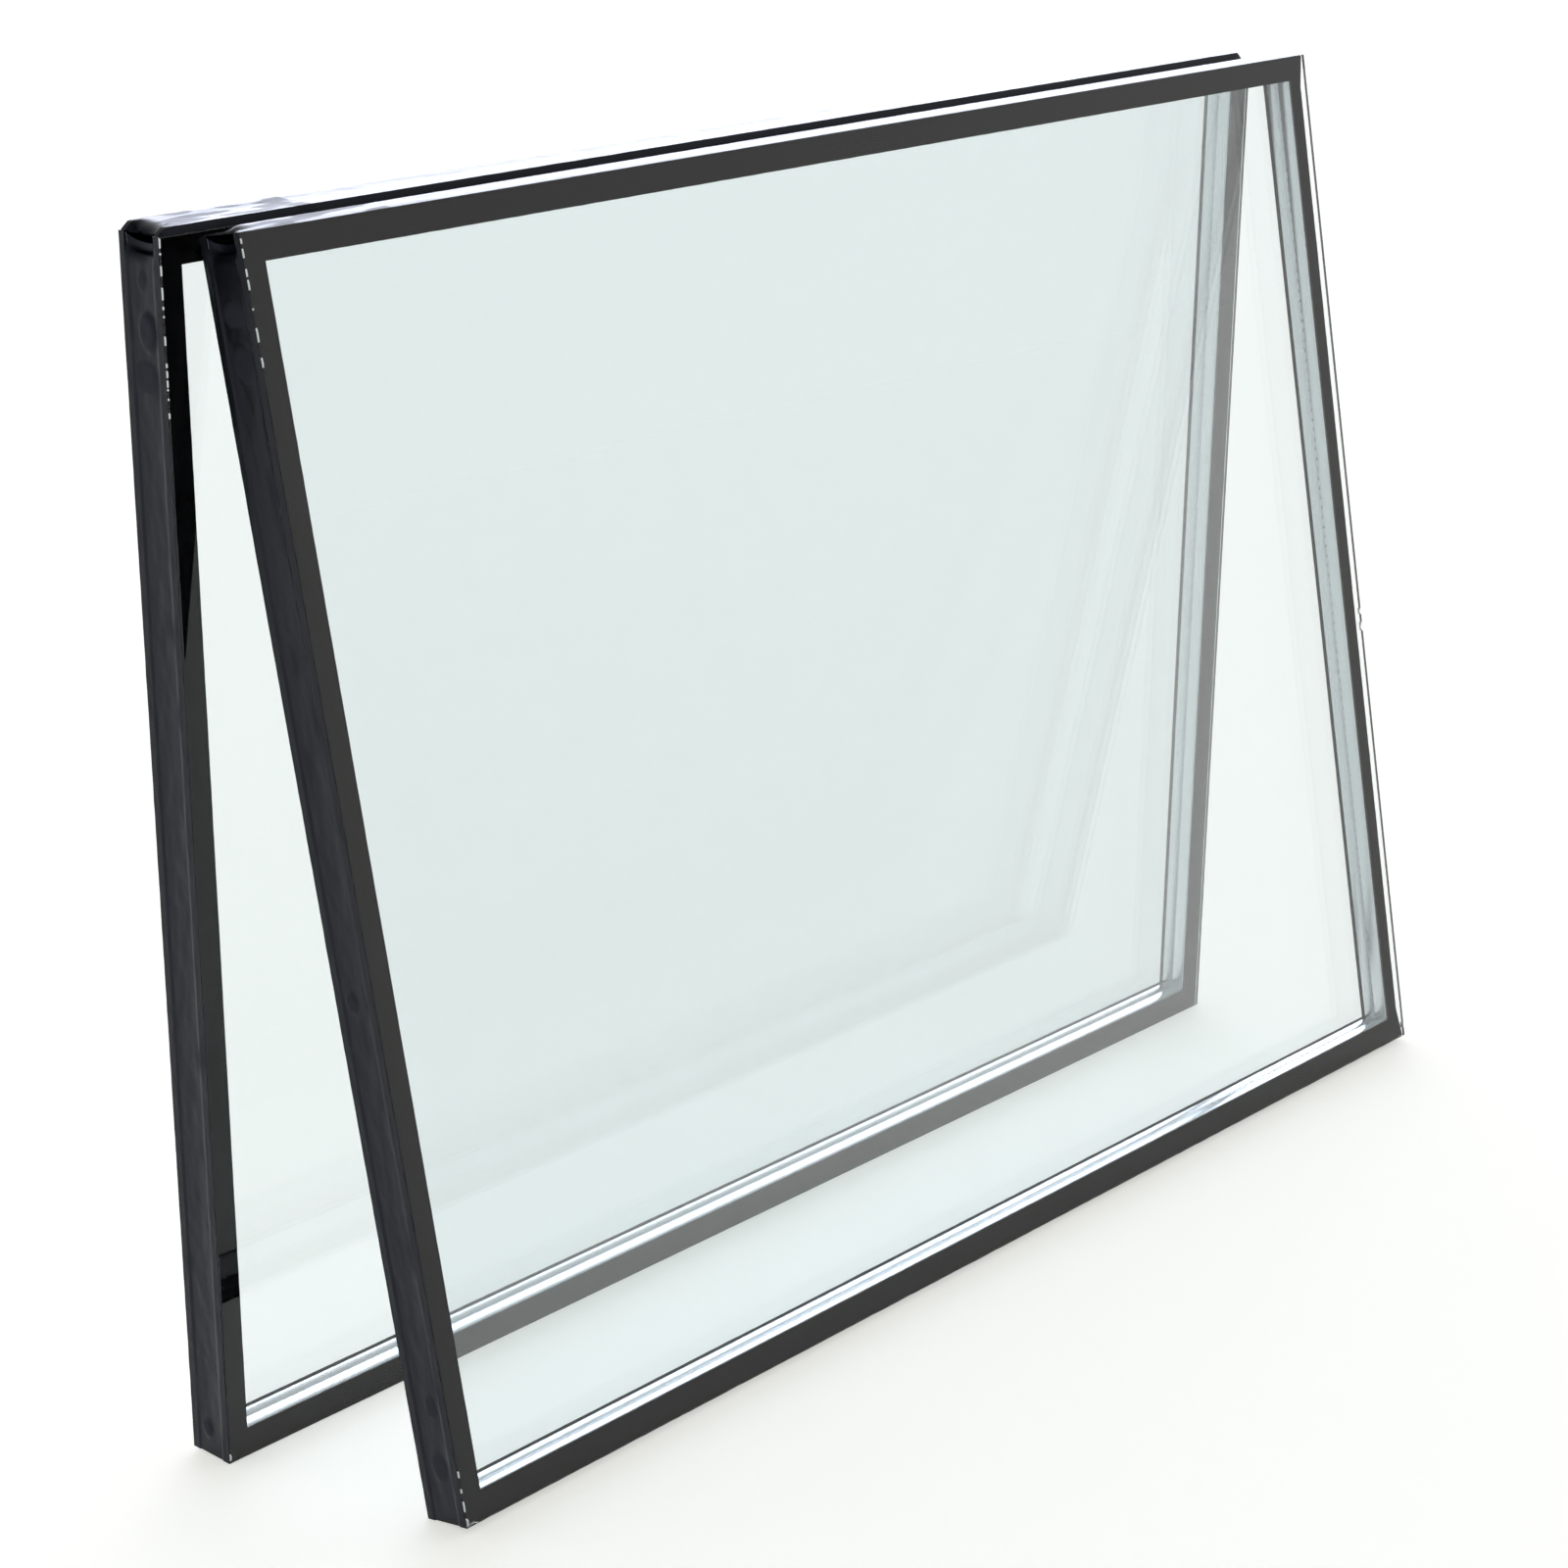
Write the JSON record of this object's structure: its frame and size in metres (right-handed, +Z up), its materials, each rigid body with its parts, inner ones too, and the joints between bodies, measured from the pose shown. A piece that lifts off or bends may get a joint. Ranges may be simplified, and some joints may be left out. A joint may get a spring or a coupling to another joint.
{
  "type": "pair of leaning insulating glass units",
  "caption": "Two equal sealed double-glazed glass panels with black sealed edges and aluminium spacers, leaning together as a narrow inverted V.",
  "frame": {"origin": "on the floor under the middle of the pair's bounding box", "axes": "+Z up, +X along the width of the panes, -Y out of the front unit's face"},
  "size_m": [0.698, 0.1498, 0.5102],
  "materials": {
    "glass": "clear float glass with a faint blue-green body, ground edges",
    "spacer": "mill-finish roll-formed strip, perforated on the cavity face",
    "key": "moulded grey nylon",
    "desiccant": "dry mineral beads",
    "butyl": "soft black bead pressed flat on the glass",
    "sealant": "black two-part edge sealant, trowelled, with smears and finger dabs"
  },
  "bodies": {
    "back_unit": {"back_unit_pane_front": "glass", "back_unit_pane_rear": "glass", "back_unit_butyl_front": "butyl", "back_unit_butyl_rear": "butyl", "back_unit_spacer_bottom": "spacer", "back_unit_desiccant_bottom": "desiccant", "back_unit_sealant_bottom": "sealant", "back_unit_spacer_left": "spacer", "back_unit_desiccant_left": "desiccant", "back_unit_sealant_left": "sealant", "back_unit_spacer_top": "spacer", "back_unit_desiccant_top": "desiccant", "back_unit_sealant_top": "sealant", "back_unit_spacer_right": "spacer", "back_unit_desiccant_right": "desiccant", "back_unit_sealant_right": "sealant", "back_unit_key_bottom_left": "key", "back_unit_key_top_left": "key", "back_unit_key_top_right": "key", "back_unit_key_bottom_right": "key"},
    "front_unit": {"front_unit_pane_front": "glass", "front_unit_pane_rear": "glass", "front_unit_butyl_front": "butyl", "front_unit_butyl_rear": "butyl", "front_unit_spacer_bottom": "spacer", "front_unit_desiccant_bottom": "desiccant", "front_unit_sealant_bottom": "sealant", "front_unit_spacer_left": "spacer", "front_unit_desiccant_left": "desiccant", "front_unit_sealant_left": "sealant", "front_unit_spacer_top": "spacer", "front_unit_desiccant_top": "desiccant", "front_unit_sealant_top": "sealant", "front_unit_spacer_right": "spacer", "front_unit_desiccant_right": "desiccant", "front_unit_sealant_right": "sealant", "front_unit_key_bottom_left": "key", "front_unit_key_top_left": "key", "front_unit_key_top_right": "key", "front_unit_key_bottom_right": "key"}
  },
  "joints": [
    {"name": "front_unit_lean", "type": "hinge", "parent": "back_unit", "child": "front_unit", "pos_m": [0.009, 0.01108, 0.50565], "axis": [1, 0, 0], "range_deg": [-20, 11.4]}
  ]
}
